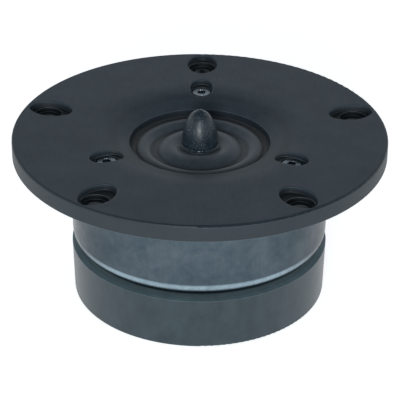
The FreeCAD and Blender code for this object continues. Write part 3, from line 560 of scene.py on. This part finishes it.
def make_leads(finishes):
    """Two thin tinsel leads, from the winding out under the diaphragm to the rivets."""
    points, faces = [], []
    coil_y = math.sqrt(LEAD_COIL_R ** 2 - LEAD_SIDE ** 2)
    rim_y = math.sqrt(LEAD_RIM_R ** 2 - LEAD_SIDE ** 2)
    turn = Matrix.Rotation(math.radians(LEAD_TURN), 4, "Z")
    for side in (-LEAD_SIDE, LEAD_SIDE):
        corners = [(coil_y, LEAD_LOW_Z), (coil_y, LEAD_UP_Z),
                   ((coil_y + 2 * rim_y) / 3, LEAD_FLAT_Z), (LEAD_END, LEAD_FLAT_Z)]
        line = [turn @ Vector((side, y, z)) * MM for y, z in corners]
        route = divided(rounded_line(line, LEAD_BEND * MM), LEAD_STEP * MM)
        more, shapes = tube(route, LEAD_R * MM, WIRE_SIDES)
        faces += [tuple(index + len(points) for index in shape) for shape in shapes]
        points += more
    obj = new_piece("lead_wires_tinsel", points, faces, "lead_wire", finishes)
    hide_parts("lead_wires")
    follow_coil(obj, lambda v: lead_share(math.hypot(v.x, v.y) / MM))


def lead_share(radius):
    """1 at the winding, easing to 0 before the carrier's edge."""
    return smooth_step((LEAD_RIM_R - radius) / (LEAD_RIM_R - LEAD_COIL_R - LEAD_STIFF))


# ---------------------------------------------------------------- damping wad
def wad_outline(middle, half):
    """Half of the wad's section: two flat faces and a rounded edge."""
    rings = [WAD_R * i / 24 - 0.1 for i in range(1, 23)]
    profile = [(WAD_CORE_R, middle + half)]
    profile += [(radius, middle + half) for radius in rings]
    for step in range(13):
        turn = math.pi / 2 - math.pi * step / 12
        profile.append((WAD_R - WAD_EDGE + WAD_EDGE_R * math.cos(turn), middle + half * math.sin(turn)))
    profile += [(radius, middle - half) for radius in reversed(rings)]
    profile.append((WAD_CORE_R, middle - half))
    return profile


def make_wad(finishes):
    """A cut disc of loose felt, uneven on its faces and rounded at its edge."""
    middle, half = (WAD_LOW_Z + WAD_HIGH_Z) / 2, (WAD_HIGH_Z - WAD_LOW_Z) / 2
    points, faces = lathe(wad_outline(middle, half), WAD_STEPS)
    lumped = []
    for x, y, z in points:
        loft = noise.fractal(Vector((x, y, z)) * 0.16, 1.0, 2.0, 4) * 0.35
        edge = 1 - min(1.0, math.hypot(x, y) / WAD_R) ** 8 * 0.5
        shrink = 1 - 0.012 * abs(loft)
        sunk = z - (z - middle) / half * abs(loft) * 1.4 * edge
        lumped.append((x * shrink * MM, y * shrink * MM, sunk * MM))
    obj = new_piece("damping_felt_wad", lumped, faces, "felt", finishes)
    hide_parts("chamber_damping_wad")
    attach(obj, FIXED)


# ---------------------------------------------------------------- studio
def make_camera():
    rise, pitch, roll, yaw = (math.radians(a) for a in (RISE, PITCH, ROLL, YAW))
    around = Matrix.Rotation(math.radians(SWING), 3, "Z")
    forward = around @ Vector((0, math.cos(rise), -math.sin(rise)))
    upward = around @ Vector((0, math.sin(rise), math.cos(rise)))
    look = forward * math.cos(pitch) + upward * math.sin(pitch)
    up = upward * math.cos(pitch) - forward * math.sin(pitch)
    right = look.cross(up)
    look = look * math.cos(yaw) + right * math.sin(yaw)
    right = look.cross(up)
    side = right * math.cos(roll) + up * math.sin(roll)
    top = up * math.cos(roll) - right * math.sin(roll)
    camera = bpy.data.objects.new("camera", bpy.data.cameras.new("camera"))
    bpy.context.scene.collection.objects.link(camera)
    camera.data.lens = LENS
    camera.data.sensor_width = SENSOR_WIDTH
    camera.data.clip_start = CLIP_START
    matrix = camera.matrix_world.to_3x3()
    matrix.col[0], matrix.col[1], matrix.col[2] = side, top, -look
    camera.matrix_world = matrix.to_4x4()
    camera.location = CENTRE - forward * DISTANCE
    bpy.context.scene.camera = camera


def lamp(name, place, target, size, power, colour):
    data = bpy.data.lights.new(name, "AREA")
    data.shape = "RECTANGLE"
    data.size = data.size_y = size
    data.energy = power
    data.color = colour
    obj = bpy.data.objects.new(name, data)
    bpy.context.scene.collection.objects.link(obj)
    obj.location = place
    obj.rotation_euler = (Vector(target) - Vector(place)).to_track_quat("-Z", "Y").to_euler()
    obj.visible_camera = False


def flat_card(name, corners, finish):
    mesh = bpy.data.meshes.new(name)
    mesh.from_pydata(corners, [], [(0, 1, 2, 3)])
    obj = bpy.data.objects.new(name, mesh)
    bpy.context.scene.collection.objects.link(obj)
    dress(obj, finish)


def make_world():
    """Bright walls all round, falling off to a dark ceiling."""
    world = bpy.context.scene.world or bpy.data.worlds.new("world")
    bpy.context.scene.world = world
    world.use_nodes = True
    tree = world.node_tree
    back = next(n for n in tree.nodes if n.type == "BACKGROUND")
    where = tree.nodes.new("ShaderNodeTexCoord")
    parts = tree.nodes.new("ShaderNodeSeparateXYZ")
    ramp = tree.nodes.new("ShaderNodeValToRGB")
    tree.links.new(where.outputs["Generated"], parts.inputs[0])
    tree.links.new(parts.outputs[2], ramp.inputs[0])
    tree.links.new(ramp.outputs[0], back.inputs["Color"])
    while len(ramp.color_ramp.elements) < len(WALL_LIGHT):
        ramp.color_ramp.elements.new(0.5)
    for element, (height, level) in zip(ramp.color_ramp.elements, WALL_LIGHT):
        element.position = height
        element.color = rgb(level * 0.88, level * 0.96, level * 1.04)
    back.inputs["Strength"].default_value = 1.0


def paper_floor():
    """White paper on a light table: it glows a little, so that the object's own shade stays faint on it."""
    f = Finish("studio_paper", specular=0.2)
    colour = f.blend(f.noise(30.0, 3.0), rgb(0.90, 0.90, 0.90), rgb(0.93, 0.93, 0.93))
    f.shader.inputs["Emission Color"].default_value = rgb(1.0, 1.0, 1.0)
    f.shader.inputs["Emission Strength"].default_value = FLOOR_GLOW
    return f.done(colour, 0.9)


def make_studio():
    far, low = FLOOR_REACH, FLOOR_LOW
    corners = [(-far, -far, low), (far, -far, low), (far, far, low), (-far, far, low)]
    flat_card("floor", corners, paper_floor())
    lamp("front_softbox", SOFTBOX_PLACE, SOFTBOX_AIM, SOFTBOX_SIZE, SOFTBOX_POWER, SOFTBOX_COLOUR)
    make_world()
    bpy.context.scene.view_settings.view_transform = "Standard"


# ---------------------------------------------------------------- build
finishes = make_finishes()
dress_frame(finishes)
make_diaphragm(finishes)
make_leads(finishes)
make_wad(finishes)
make_studio()
make_camera()
